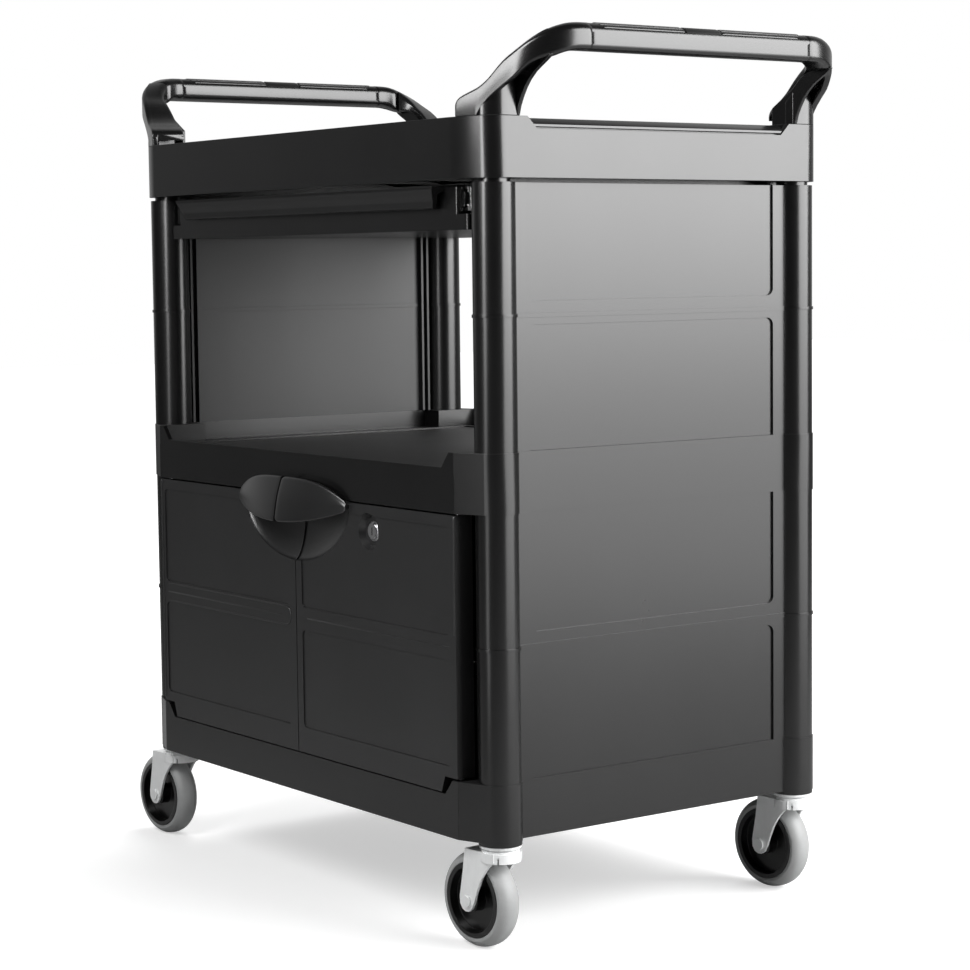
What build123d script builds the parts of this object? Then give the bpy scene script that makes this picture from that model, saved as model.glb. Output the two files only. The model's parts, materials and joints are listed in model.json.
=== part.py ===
from build123d import *
import math
import os

os.makedirs("parts", exist_ok=True)

# ---------------------------------------------------------------- dimensions
# All millimetres.  +X runs along the cart, -Y is the side with the doors,
# +Z is up, the floor is z = 0.
HALF_W = 236.5            # half the tray depth (473 mm trays)
END_X = 340.0             # plane of the end panels and of the tray end skirts
FLAT_X = 304.5            # half length of the flat front of a tray
POST_X, POST_Y = 331.0, 202.15
POST_R = 22.1             # round corner posts
POST_WALL = 3.2
CORNER_R = 23.0           # rounded tray corners
TOP_CORNER_R = 23.6
WALL = 5.0                # tray rim thickness
FLOOR_T = 4.0             # tray floor thickness
FLOOR_DROP = 22.0         # mid and bottom tray floors below their rims
TOP_FLOOR_DROP = 34.0     # top tray well
Z_BOT_0, Z_BOT_1 = 116.0, 176.0      # bottom tray
Z_MID_0, Z_MID_1 = 450.0, 512.0      # middle tray
Z_TOP_0, Z_TOP_1 = 786.0, 847.0      # top tray
POST_TOP_GAP = 4.0        # shadow gap under the top tray
NECK_R = 17.0
RIM_CUT = 16.0            # front and back rim cut-outs of the lower two trays
CUT_X0, CUT_X1 = 283.0, 296.0
END_CUT = 12.0            # end rim cut-outs of the top tray
END_CUT_Y0, END_CUT_Y1 = 152.0, 172.0

PANEL_T = 6.0
RECESS = 2.4
RECESS_Y = 166.0
RIDGE_H = 4.6             # mid-height bead on panels and posts
RIDGE_OUT = 1.1

DOOR_T = 22.0
DOOR_X = 305.0
DOOR_GAP = 0.7            # half the gap between the doors
DOOR_TOP = 448.0
DOOR_BOT = 161.5
DOOR_STEP_Z = 178.5
DOOR_LOW_X0, DOOR_LOW_X1 = 277.0, 283.0   # slanted end of the door's lower edge
HINGE_X, HINGE_Y = 297.0, -225.5
PIN_R = 3.0
BAR_Z0, BAR_Z1 = 299.5, 325.0
BOWL = (110.0, 17.5, 72.0)
LOCK_X, LOCK_Z = 146.0, 419.5
LOCK_R = 20.0

GRIP_X0, GRIP_X1 = 390.0, 419.5
GRIP_Z0, GRIP_Z1 = 908.5, 935.0
GRIP_Y = 143.3

DRAWER_X = 285.0          # drawer box half width between the slides
DRAWER_LOW_X = 303.0      # wider foot of the drawer box below the slides
DRAWER_Y = 214.0
DRAWER_Z0, DRAWER_Z1 = 735.5, 779.0
DRAWER_STEP = 751.5
LIP_X = 265.0

TRAIL = 31.0              # caster trail
WHEEL_R = 50.0
HUB_R = 39.5
HUB_HALF = 15.0
TYRE_HALF = 13.5
LEG_IN, LEG_OUT = 16.5, 19.5
CASTER_YAW = 4.5          # degrees, all four wheels point the same way
BOSS_Z = 112.0            # underside of the round corner bosses
AXLE_R = 4.0
STEM_R = 5.5

# The pulls stand proud at the front, so the whole cart is shifted to keep its
# bounding box centred on the origin.
PULL_OUT = 28.0
SHIFT_Y = PULL_OUT / 2.0


# ------------------------------------------------------------------- helpers
def bx(x0, x1, y0, y1, z0, z1):
    return Pos((x0 + x1) / 2, (y0 + y1) / 2, (z0 + z1) / 2) * Box(x1 - x0, y1 - y0, z1 - z0)


def cy(x, y, r, z0, z1):
    return Pos(x, y, (z0 + z1) / 2) * Cylinder(r, z1 - z0)


def cyl_y(x, z, r, y0, y1):
    return Pos(x, (y0 + y1) / 2, z) * Rot(90, 0, 0) * Cylinder(r, y1 - y0)


def cyl_x(y, z, r, x0, x1):
    return Pos((x0 + x1) / 2, y, z) * Rot(0, 90, 0) * Cylinder(r, x1 - x0)


def poly_xy(pts, z0, z1):
    face = make_face(Polyline(*[(p[0], p[1], z0) for p in pts], close=True))
    return extrude(face, amount=z1 - z0, dir=(0, 0, 1))


def poly_xz(pts, y0, y1):
    face = make_face(Polyline(*[(p[0], y0, p[1]) for p in pts], close=True))
    return extrude(face, amount=y1 - y0, dir=(0, 1, 0))


def poly_yz(pts, x0, x1):
    face = make_face(Polyline(*[(x0, p[0], p[1]) for p in pts], close=True))
    return extrude(face, amount=x1 - x0, dir=(1, 0, 0))


def mirror_x(s):
    return mirror(s, about=Plane.YZ)


def mirror_y(s):
    return mirror(s, about=Plane.XZ)


def save(shape, name):
    parts = shape if isinstance(shape, (list, tuple, ShapeList)) else [shape]
    solids = []
    for p in parts:
        solids += list(p.solids())
    solids = [s for s in solids if s.volume > 0.5]
    out = solids[0] if len(solids) == 1 else Compound(children=solids)
    out = out.moved(Location((0, SHIFT_Y, 0)))
    export_step(out, "parts/" + name + ".step")


def tangent_point(px, py, cx, cyy, r, side):
    dx, dy = px - cx, py - cyy
    d = math.hypot(dx, dy)
    base = math.atan2(dy, dx)
    a = math.acos(r / d)
    ang = base + side * a
    return cx + r * math.cos(ang), cyy + r * math.sin(ang)


# --------------------------------------------------------------------- trays
def corner_prism(z0, z1, r):
    """Rounded front right corner: column plus slanted facet (x > 0, y > 0)."""
    tx, ty = tangent_point(FLAT_X, HALF_W, POST_X, POST_Y, r, -1)
    body = poly_xy([(FLAT_X, HALF_W), (FLAT_X, POST_Y - 8), (POST_X, POST_Y - 8), (POST_X, POST_Y), (tx, ty)], z0, z1)
    return body + cy(POST_X, POST_Y, r, z0, z1)


def all_corners(s):
    return s + mirror_x(s) + mirror_y(s) + mirror_x(mirror_y(s))


def tray(z0, z1, floor_top, r, end_x, cut_front, cut_end):
    hull = bx(-FLAT_X, FLAT_X, -HALF_W, HALF_W, z0, z1)
    hull += bx(-end_x, end_x, -POST_Y + 4, POST_Y - 4, z0, z1)
    corner = corner_prism(z0, z1, r)
    if cut_end:
        corner += bx(POST_X, end_x, POST_Y - 8, POST_Y, z0, z1)
    hull += all_corners(corner)
    inner_x = min(end_x, END_X) - WALL
    if cut_end:
        inner_x = end_x - WALL
    iw = HALF_W - WALL
    col = 25.0
    upper = bx(-inner_x, inner_x, -(POST_Y - col - 3), POST_Y - col - 3, floor_top, z1 + 1)
    upper += bx(-(FLAT_X - 0.5), FLAT_X - 0.5, -iw, iw, floor_top, z1 + 1)
    lower = bx(-inner_x, inner_x, -(POST_Y - col - 3), POST_Y - col - 3, z0 - 1, floor_top - FLOOR_T)
    lower += bx(-(FLAT_X - 0.5), FLAT_X - 0.5, -iw, iw, z0 - 1, floor_top - FLOOR_T)
    body = hull - upper - lower
    # stiffening ribs under the floor
    for x in (-200, -100, 0, 100, 200):
        body += bx(x - 1.5, x + 1.5, -iw, iw, floor_top - FLOOR_T - 9, floor_top - FLOOR_T)
    for y in (-110, 0, 110):
        body += bx(-inner_x, inner_x, y - 1.5, y + 1.5, floor_top - FLOOR_T - 9, floor_top - FLOOR_T)
    if cut_front:
        prof = [(-CUT_X1, z1 + 1), (-CUT_X1, z1), (-CUT_X0, z1 - RIM_CUT), (CUT_X0, z1 - RIM_CUT), (CUT_X1, z1), (CUT_X1, z1 + 1)]
        body -= poly_xz(prof, -HALF_W - 1, -HALF_W + WALL + 0.5)
        body -= poly_xz(prof, HALF_W - WALL - 0.5, HALF_W + 1)
    if cut_end:
        prof = [(-END_CUT_Y1, z1 + 1), (-END_CUT_Y1, z1), (-END_CUT_Y0, z1 - END_CUT), (END_CUT_Y0, z1 - END_CUT), (END_CUT_Y1, z1), (END_CUT_Y1, z1 + 1)]
        body -= poly_yz(prof, end_x - WALL - 0.5, end_x + 1)
        body -= poly_yz(prof, -end_x - 1, -end_x + WALL + 0.5)
    return body


# hinge blocks moulded into the front corners of the two lower trays
def hinge_blocks(z0, z1):
    b = bx(286, FLAT_X + 1, -HALF_W, -HALF_W + 26, z0, z1)
    return b + mirror_x(b)


top_floor = Z_TOP_1 - TOP_FLOOR_DROP
top_tray = tray(Z_TOP_0, Z_TOP_1, top_floor, TOP_CORNER_R, POST_X + TOP_CORNER_R, False, True)
# hangers that carry the fixed drawer slides
hanger = bx(298.4, 303.4, -206, 206, 753.6, top_floor - 1)
hanger += bx(290, 303.4, -206, 206, 786, 790)
top_tray += hanger + mirror_x(hanger)
save(top_tray, "top_tray")

mid_floor = Z_MID_1 - FLOOR_DROP
middle_tray = tray(Z_MID_0, Z_MID_1, mid_floor, CORNER_R, END_X, True, False)
middle_tray += hinge_blocks(Z_MID_0, mid_floor)
# shallow raised outline on the shelf floor
frame_line = bx(-296, 296, -214, 214, mid_floor - 1, mid_floor + 1.6) - bx(-288, 288, -206, 206, mid_floor - 2, mid_floor + 3)
middle_tray += frame_line
save(middle_tray, "middle_tray")

bot_floor = Z_BOT_1 - FLOOR_DROP
bottom_tray = tray(Z_BOT_0, Z_BOT_1, bot_floor, CORNER_R, END_X, True, False)
hb = hinge_blocks(Z_BOT_0, Z_BOT_1)
prof = [(-CUT_X1, Z_BOT_1 + 1), (-CUT_X1, Z_BOT_1), (-CUT_X0, Z_BOT_1 - RIM_CUT), (CUT_X0, Z_BOT_1 - RIM_CUT), (CUT_X1, Z_BOT_1), (CUT_X1, Z_BOT_1 + 1)]
hb = hb - poly_xz(prof, -HALF_W - 1, -HALF_W + 30)
bottom_tray += hb
# ledge along the back rim that carries the back panel
bottom_tray += bx(-303.9, 303.9, 226.4, HALF_W - WALL + 0.2, bot_floor - 1, bot_floor + 6)
boss = cy(POST_X, POST_Y, CORNER_R - 0.6, BOSS_Z, Z_BOT_0 + 1)
hole = cy(POST_X, POST_Y, STEM_R, BOSS_Z - 1, BOSS_Z + 34)
bottom_tray = bottom_tray + all_corners(boss) - all_corners(hole)
save(bottom_tray, "bottom_tray")


# --------------------------------------------------------------------- posts
def post(z0, z1, neck):
    top = z1 - (POST_TOP_GAP if neck else 0)
    s = cy(POST_X, POST_Y, POST_R, z0, top)
    zm = (z0 + z1) / 2
    s += cy(POST_X, POST_Y, POST_R + RIDGE_OUT, zm - 1.6, zm + 1.6)
    s -= cy(POST_X, POST_Y, POST_R - POST_WALL, z0 + 6, top - 6)
    s -= cy(POST_X, POST_Y, 6, z0 - 1, z0 + 7)
    if neck:
        s += cy(POST_X, POST_Y, NECK_R, top - 1, z1)
    return s


post_hi = post(Z_MID_1, Z_TOP_0, True)
post_lo = post(Z_BOT_1, Z_MID_0, False)
for nm, p in (("upper", post_hi), ("lower", post_lo)):
    save(mirror_x(mirror_y(p)), "post_%s_front_left" % nm)
    save(mirror_y(p), "post_%s_front_right" % nm)
    save(mirror_x(p), "post_%s_back_left" % nm)
    save(p, "post_%s_back_right" % nm)


# ---------------------------------------------------------------- end panels
def end_panel(z0, z1, full_z1):
    ye = 183.5
    s = bx(END_X - PANEL_T, END_X, -ye, ye, z0, z1)
    zm = (z0 + full_z1) / 2
    # recessed fields above and below the mid-height bead
    for a, b, up in ((zm + 14.5, z1 + 10, True), (z0 - 10, zm - 9.5, False)):
        rec = bx(END_X - RECESS, END_X + 1, -RECESS_Y, RECESS_Y, a, b)
        edges = rec.edges().filter_by(Axis.X)
        pick = [e for e in edges if (abs(e.center().Z - a) < 0.1) == up]
        pick = [e for e in edges if abs(e.center().Z - (a if up else b)) < 0.1]
        rec = fillet(pick, 8)
        s -= rec
    # bead
    s += bx(END_X - 1, END_X + RIDGE_OUT, -ye, ye, zm - RIDGE_H / 2, zm + RIDGE_H / 2)
    s += bx(END_X - PANEL_T - RIDGE_OUT, END_X - PANEL_T + 1, -ye, ye, zm - RIDGE_H / 2, zm + RIDGE_H / 2)
    # inner guide ribs beside each post
    for y in (167.0, 175.5):
        for sgn in (-1, 1):
            s += bx(END_X - PANEL_T - 7, END_X - PANEL_T + 1, sgn * y - 1.5, sgn * y + 1.5, z0, z1)
    for sgn in (-1, 1):
        s -= cy(POST_X, sgn * POST_Y, POST_R + 0.1, z0 - 5, z1 + 5)
        s -= cy(POST_X, sgn * POST_Y, POST_R + RIDGE_OUT + 0.1, zm - 1.8, zm + 1.8)
    return s


pu = end_panel(Z_MID_1, Z_TOP_0 - POST_TOP_GAP, Z_TOP_0)
pl = end_panel(Z_BOT_1, Z_MID_0, Z_MID_0)
save(pu, "end_panel_upper_right")
save(mirror_x(pu), "end_panel_upper_left")
save(pl, "end_panel_lower_right")
save(mirror_x(pl), "end_panel_lower_left")

back = bx(-303.5, 303.5, 226.8, 230.8, bot_floor + 6, Z_MID_0 + 12)
for x in (-150, 0, 150):
    back += bx(x - 40, x + 40, 225.2, 227, bot_floor + 30, Z_MID_0 - 20)
save(back, "back_panel")


# -------------------------------------------------------------- push handles
def rounded(w, h, r):
    return RectangleRounded(w, h, r)


def arm(cut_flat=True):
    """Front arm of the right-hand handle, from tray corner to grip end."""
    secs = [
        ((328.3, -209.4, Z_TOP_1), (0, 0, 1), 50, 53.5, 12),
        ((329.0, -209.0, Z_TOP_1 + 16), (0.10, 0.02, 1), 49, 53.0, 12),
        ((345.0, -206.0, Z_TOP_1 + 38), (0.75, 0.12, 0.95), 40, 50.0, 11),
        ((371.0, -198.0, Z_TOP_1 + 58), (0.70, 0.42, 0.72), 32, 42.0, 10),
        ((393.0, -175.0, Z_TOP_1 + 72), (0.45, 0.95, 0.35), 28.5, 33.0, 9),
        ((404.6, -GRIP_Y, (GRIP_Z0 + GRIP_Z1) / 2), (0.05, 1, 0.02), 27.5, 30.5, 8),
    ]
    faces = []
    for o, n, a, b, r in secs:
        nn = Vector(*n).normalized()
        # local x of each section lies in the XZ plane, so a is measured across
        # the outer face and b along the cart depth at the foot
        ref = Vector(1, 0, 0) if nn.Z > 0.6 else Vector(0, 0, 1)
        xd = (ref - nn * ref.dot(nn)).normalized()
        if nn.Z <= 0.6:
            xd = xd * -1
        pl_ = Plane(origin=o, x_dir=xd, z_dir=nn)
        faces.append(pl_ * RectangleRounded(a, b, r))
    return loft(faces)


def arm_solid():
    a = None
    try:
        a = arm()
    except Exception:
        a = None
    return a


arm_fr = arm_solid()
clip = bx(300, 430, -HALF_W, -GRIP_Y, Z_TOP_1, 960)
arm_fr = arm_fr & clip
save(arm_fr, "handle_arm_right_front")
save(mirror_y(arm_fr), "handle_arm_right_back")
save(mirror_x(arm_fr), "handle_arm_left_front")
save(mirror_x(mirror_y(arm_fr)), "handle_arm_left_back")

grip = bx(GRIP_X0, GRIP_X1, -GRIP_Y, GRIP_Y, GRIP_Z0, GRIP_Z1)
grip = fillet(grip.edges().filter_by(Axis.Y), 7.5)
for dx in (-6, 0, 6):
    xm = (GRIP_X0 + GRIP_X1) / 2 + dx
    grip += bx(xm - 0.9, xm + 0.9, -GRIP_Y + 8, -30, GRIP_Z1 - 1, GRIP_Z1 + 1.2)
    grip += bx(xm - 0.9, xm + 0.9, 30, GRIP_Y - 8, GRIP_Z1 - 1, GRIP_Z1 + 1.2)
grip += bx((GRIP_X0 + GRIP_X1) / 2 - 8, (GRIP_X0 + GRIP_X1) / 2 + 8, -23, 23, GRIP_Z1 - 1, GRIP_Z1 + 1.0)
save(grip, "grip_right")
save(mirror_x(grip), "grip_left")


# -------------------------------------------------------------------- drawer
db = bx(-DRAWER_X, DRAWER_X, -DRAWER_Y, DRAWER_Y, DRAWER_Z0, DRAWER_Z1)
db += bx(-DRAWER_LOW_X, DRAWER_LOW_X, -DRAWER_Y, DRAWER_Y, DRAWER_Z0, DRAWER_STEP)
db = fillet(db.edges().filter_by(Axis.Z), 3)
db -= bx(-DRAWER_X + 3, DRAWER_X - 3, -DRAWER_Y + 3, DRAWER_Y - 3, DRAWER_Z0 + 3, DRAWER_Z1 + 1)
save(db, "drawer_tray")

lip_pts = [(-DRAWER_Y, 780.0), (-231.0, 780.0), (-230.6, 777.0), (-228.0, 771.0), (-225.2, 765.0), (-223.2, 758.5),
           (-220.5, 757.0), (-218.5, 758.5), (-219.5, 765.0), (-221.5, 772.0), (-DRAWER_Y, 775.0)]
lip = poly_yz(lip_pts, -LIP_X, LIP_X)
wedge = poly_xz([(LIP_X - 12, 755), (LIP_X + 5, 755), (LIP_X + 5, 781), (LIP_X, 781)], -240, -205)
lip = lip - wedge - mirror_x(wedge)
save(lip, "drawer_lip")

si = bx(DRAWER_X, DRAWER_X + 4.2, -208, 200, 759.5, 774.5)
save(si, "slide_inner_right")
save(mirror_x(si), "slide_inner_left")
so = bx(DRAWER_X + 1.4, 298.4, -206, 204, 754.5, 779.5)
so -= bx(DRAWER_X - 1, DRAWER_X + 7.0, -207, 205, 758.0, 776.0)
so -= bx(DRAWER_X + 6.9, 295.4, -207, 205, 761.0, 773.0)
save(so, "slide_outer_right")
save(mirror_x(so), "slide_outer_left")


# --------------------------------------------------------------------- doors
def door():
    """Right-hand door (x > 0)."""
    outline = [(DOOR_GAP, DOOR_BOT), (DOOR_LOW_X0, DOOR_BOT), (DOOR_LOW_X1, DOOR_STEP_Z), (DOOR_X, DOOR_STEP_Z), (DOOR_X, DOOR_TOP), (DOOR_GAP, DOOR_TOP)]
    yf, yb = -HALF_W, -HALF_W + DOOR_T
    s = poly_xz(outline, yf, yb)
    # shallow fields around the mid bar
    f_up = bx(12, 296, yf - 1, yf + 1.2, BAR_Z1, 436)
    f_lo = bx(12, 296, yf - 1, yf + 1.2, 190, BAR_Z0)
    f_up = fillet([e for e in f_up.edges().filter_by(Axis.Y)], 6)
    f_lo = fillet([e for e in f_lo.edges().filter_by(Axis.Y)], 6)
    s = s - f_up - f_lo
    # hollow back
    s -= bx(8, DOOR_X - 22, yf + 5, yb + 1, 188, 356)
    s -= bx(190, DOOR_X - 22, yf + 5, yb + 1, 362, DOOR_TOP - 8)
    # finger bowl shared by both doors
    bowl = Pos(0, -HALF_W, DOOR_TOP) * scale(Sphere(1.0), by=BOWL)
    s -= bowl
    # hinge pin holes
    s -= cy(HINGE_X, HINGE_Y, PIN_R + 0.06, DOOR_TOP - 14, DOOR_TOP + 1)
    s -= cy(HINGE_X, HINGE_Y, PIN_R + 0.06, DOOR_STEP_Z - 1, DOOR_STEP_Z + 13)
    return s


dr = door()
dl = mirror_x(dr)
dish_r = LOCK_R
dr -= Pos(LOCK_X, -HALF_W + 3.9, LOCK_Z) * Rot(90, 0, 0) * Cone(dish_r - 4.5, dish_r, 8.0)
dr -= cyl_y(LOCK_X, LOCK_Z, 11.0, -HALF_W + 5, -HALF_W + DOOR_T + 1)
save(dr, "door_right")
save(dl, "door_left")


def pull():
    """Half of the shared pull, on the right-hand door."""
    secs = []
    for x in (DOOR_GAP, 28.0, 56.0, 80.0, 98.0, 111.0):
        u = x / 112.0
        zt = 471.5 - 23.0 * u ** 3.2
        zb = 421.5 + 17.0 * u ** 2.2
        yt = -253.0 + 12.6 * u ** 2.4
        yb_ = -(HALF_W + PULL_OUT) + 22.5 * u ** 1.9
        zc = 440.0 + 0.4 * u
        zr = min(447.0, zt - 1.0)
        pts = [(-HALF_W, zr - 0.5), (-239.4, zr), (-239.4, max(zt - 3.5, zr + 0.5)), (yt, zt), (yb_, zb), (yb_ + 3.2 - 1.6 * u, zb - 0.4),
               (min(yb_ + 14 - 10 * u, -238.2), zc), (-HALF_W, zc)]
        secs.append(make_face(Polyline(*[(x, p[0], p[1]) for p in pts], close=True)))
    return loft(secs, ruled=True)


pr = pull()
save(pr, "pull_right")
save(mirror_x(pr), "pull_left")

# hinge pins: two above, two below
pins = []
for sx in (-1, 1):
    pins.append(cy(sx * HINGE_X, HINGE_Y, PIN_R, DOOR_TOP - 12, Z_MID_0))
    pins.append(cy(sx * HINGE_X, HINGE_Y, PIN_R, Z_BOT_1, DOOR_STEP_Z + 11))
save(pins, "hinge_pins")

# cam lock on the right-hand door: fixed barrel, turning core, cam behind
YL = -HALF_W
barrel = cyl_y(LOCK_X, LOCK_Z, 11.0, YL + 7.9, YL + DOOR_T + 4)
barrel -= cyl_y(LOCK_X, LOCK_Z, 8.05, YL + 7, YL + DOOR_T + 5)
save(barrel, "lock_barrel")
core = cyl_y(LOCK_X, LOCK_Z, 8.0, YL + 5.6, YL + DOOR_T + 5.0)
core -= bx(LOCK_X - 0.9, LOCK_X + 0.9, YL + 5, YL + 9, LOCK_Z - 4.2, LOCK_Z + 4.2)
save(core, "lock_core")
ycam = YL + DOOR_T + 5.0
cam = cyl_y(LOCK_X, LOCK_Z, 9.5, ycam, ycam + 2.5)
cam += bx(LOCK_X, LOCK_X + 36, ycam, ycam + 2.5, LOCK_Z - 7, LOCK_Z + 7)
save(cam, "lock_cam")


# ------------------------------------------------------------------- casters
def place(s, sx, sy):
    return Pos(sx * POST_X, sy * POST_Y, 0) * Rot(0, 0, CASTER_YAW) * s


def leg(n0, n1):
    pts = [(-34.0, 105.0), (-37.5, 80.0), (-42.5, 54.0), (-42.0, 46.0), (-38.2, 40.8), (-33.5, 38.8), (-28.5, 39.2), (-24.0, 42.4),
           (-20.0, 50.0), (-15.5, 62.0), (-9.0, 76.0), (-1.0, 87.0), (6.0, 93.5), (11.0, 96.0), (11.0, 105.0)]
    pts = [(p[0] + (0.0), p[1]) for p in pts]
    return poly_xz(pts, n0, n1)


def fork():
    top = cy(0, 0, 21.5, 95.0, 105.0) + bx(-34.0, 0, -LEG_OUT, LEG_OUT, 95.0, 105.0)
    top -= bx(-40, 15, -LEG_IN, LEG_IN, 90, 102.0)
    inner = cy(0, 0, 18.5, 90, 102.0) & bx(0, 30, -30, 30, 80, 110)
    top -= inner
    top += cy(0, 0, 19.6, 104.9, 107.4)
    f = top + leg(-LEG_OUT, -LEG_IN) + leg(LEG_IN, LEG_OUT)
    f -= cy(0, 0, STEM_R + 0.06, 90, 110)
    f -= cyl_y(-TRAIL, WHEEL_R, AXLE_R + 0.05, -25, 25)
    return f


def axle():
    a = cyl_y(-TRAIL, WHEEL_R, AXLE_R, -LEG_OUT, LEG_OUT)
    a += cyl_y(-TRAIL, WHEEL_R, 6.2, -LEG_OUT - 2.6, -LEG_OUT)
    hexa = Pos(-TRAIL, LEG_OUT + 2.2, WHEEL_R) * Rot(90, 0, 0) * extrude(RegularPolygon(6.4, 6), amount=2.2)
    return a + hexa


def hub():
    h = cyl_y(-TRAIL, WHEEL_R, HUB_R, -HUB_HALF + 1.0, HUB_HALF - 1.0)
    ring = cyl_y(-TRAIL, WHEEL_R, 34.0, -HUB_HALF - 1, -4.0) + cyl_y(-TRAIL, WHEEL_R, 34.0, 4.0, HUB_HALF + 1)
    h -= ring
    h += cyl_y(-TRAIL, WHEEL_R, 12.0, -HUB_HALF - 1.0, HUB_HALF + 1.0)
    h -= cyl_y(-TRAIL, WHEEL_R, AXLE_R + 0.06, -30, 30)
    return h


def tyre():
    pts = [(HUB_R, -TYRE_HALF), (43.0, -TYRE_HALF), (46.3, -TYRE_HALF + 2.6), (48.6, -TYRE_HALF + 6.0), (WHEEL_R, 0),
           (48.6, TYRE_HALF - 6.0), (46.3, TYRE_HALF - 2.6), (43.0, TYRE_HALF), (HUB_R, TYRE_HALF)]
    # profile in the plane through the axle, turned about it
    w1 = Line((pts[0][0], pts[0][1]), (pts[1][0], pts[1][1]))
    sp = Spline(*[(p[0], p[1]) for p in pts[1:8]])
    w2 = Line((pts[7][0], pts[7][1]), (pts[8][0], pts[8][1]))
    w3 = Line((pts[8][0], pts[8][1]), (pts[0][0], pts[0][1]))
    face = make_face([w1, sp, w2, w3])
    ring = revolve(face, Axis.Y)
    return Pos(-TRAIL, 0, WHEEL_R) * ring


def stem():
    s = cy(0, 0, 21.5, 109.4, BOSS_Z)
    s += cy(0, 0, 18.8, 107.7, 109.5)
    s += cy(0, 0, STEM_R, 98.6, BOSS_Z + 34)
    s += cy(0, 0, 8.0, 97.0, 101.7)
    return s


fk_, ax_, hb_, ty_, st_ = fork(), axle(), hub(), tyre(), stem()
for nm, sx, sy in (("front_left", -1, -1), ("front_right", 1, -1), ("back_left", -1, 1), ("back_right", 1, 1)):
    save(place(st_, sx, sy), "caster_stem_" + nm)
    save(place(fk_, sx, sy), "caster_fork_" + nm)
    save(place(ax_, sx, sy), "caster_axle_" + nm)
    save(place(hb_, sx, sy), "wheel_" + nm)
    save(place(ty_, sx, sy), "tyre_" + nm)
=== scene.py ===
import json
import math
import bpy
from mathutils import Vector, Matrix


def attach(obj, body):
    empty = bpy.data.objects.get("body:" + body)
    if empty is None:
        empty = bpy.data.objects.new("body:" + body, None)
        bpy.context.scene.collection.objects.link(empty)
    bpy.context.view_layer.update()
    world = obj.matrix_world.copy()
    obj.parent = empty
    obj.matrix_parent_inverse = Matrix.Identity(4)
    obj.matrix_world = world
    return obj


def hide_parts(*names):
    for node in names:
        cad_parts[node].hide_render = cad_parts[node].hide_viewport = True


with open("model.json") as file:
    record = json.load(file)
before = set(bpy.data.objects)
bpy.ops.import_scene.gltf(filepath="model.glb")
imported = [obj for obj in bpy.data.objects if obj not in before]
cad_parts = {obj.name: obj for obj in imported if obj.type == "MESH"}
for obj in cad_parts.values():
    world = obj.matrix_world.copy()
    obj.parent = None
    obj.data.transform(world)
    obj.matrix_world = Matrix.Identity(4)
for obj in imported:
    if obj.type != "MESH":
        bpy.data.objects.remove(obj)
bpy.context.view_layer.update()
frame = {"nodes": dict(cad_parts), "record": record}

NODES = frame["nodes"]
SY = 0.014               # the cart is shifted this far along +Y, so its box is centred
COL = bpy.context.scene.collection


def V(x, y, z):
    """Millimetres about the middle of the trays -> metres in the frame."""
    return Vector((x / 1000.0, y / 1000.0 + SY, z / 1000.0))


# ------------------------------------------------------------------ materials
class Nodes:
    def __init__(self, name):
        m = bpy.data.materials.new(name)
        m.use_nodes = True
        self.mat = m
        self.t = m.node_tree
        self.t.nodes.clear()
        self.out = self.t.nodes.new("ShaderNodeOutputMaterial")
        self.p = self.t.nodes.new("ShaderNodeBsdfPrincipled")
        self.t.links.new(self.p.outputs[0], self.out.inputs[0])
        self.tc = self.t.nodes.new("ShaderNodeTexCoord")
        self.co = self.tc.outputs["Object"]

    def new(self, kind, **kw):
        n = self.t.nodes.new(kind)
        for k, v in kw.items():
            setattr(n, k, v)
        return n

    def link(self, a, b):
        self.t.links.new(a, b)

    def noise(self, scale, detail=2.0, rough=0.5, stretch=None, seed=0.0):
        src = self.co
        if stretch or seed:
            mp = self.new("ShaderNodeMapping")
            self.link(src, mp.inputs["Vector"])
            mp.inputs["Scale"].default_value = stretch or (1, 1, 1)
            mp.inputs["Location"].default_value = (seed, seed * 0.7, seed * 0.3)
            src = mp.outputs[0]
        n = self.new("ShaderNodeTexNoise")
        self.link(src, n.inputs["Vector"])
        n.inputs["Scale"].default_value = scale
        n.inputs["Detail"].default_value = detail
        n.inputs["Roughness"].default_value = rough
        return n.outputs["Fac"]

    def ramp(self, fac, stops):
        r = self.new("ShaderNodeValToRGB")
        self.link(fac, r.inputs[0])
        e = r.color_ramp.elements
        while len(e) < len(stops):
            e.new(0.5)
        for el, (pos, c) in zip(e, stops):
            el.position = pos
            el.color = (c, c, c, 1) if isinstance(c, (int, float)) else (*c, 1)
        return r.outputs[0]

    def rng(self, fac, a, b, lo, hi):
        r = self.new("ShaderNodeMapRange")
        self.link(fac, r.inputs[0])
        for i, v in zip((1, 2, 3, 4), (a, b, lo, hi)):
            r.inputs[i].default_value = v
        return r.outputs[0]

    def math(self, op, a, b):
        m = self.new("ShaderNodeMath", operation=op)
        for i, v in enumerate((a, b)):
            if isinstance(v, (int, float)):
                m.inputs[i].default_value = v
            else:
                self.link(v, m.inputs[i])
        return m.outputs[0]

    def bump(self, height, strength, dist, prev=None):
        b = self.new("ShaderNodeBump")
        self.link(height, b.inputs["Height"])
        b.inputs["Strength"].default_value = strength
        b.inputs["Distance"].default_value = dist
        if prev is not None:
            self.link(prev, b.inputs["Normal"])
        return b.outputs[0]


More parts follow.
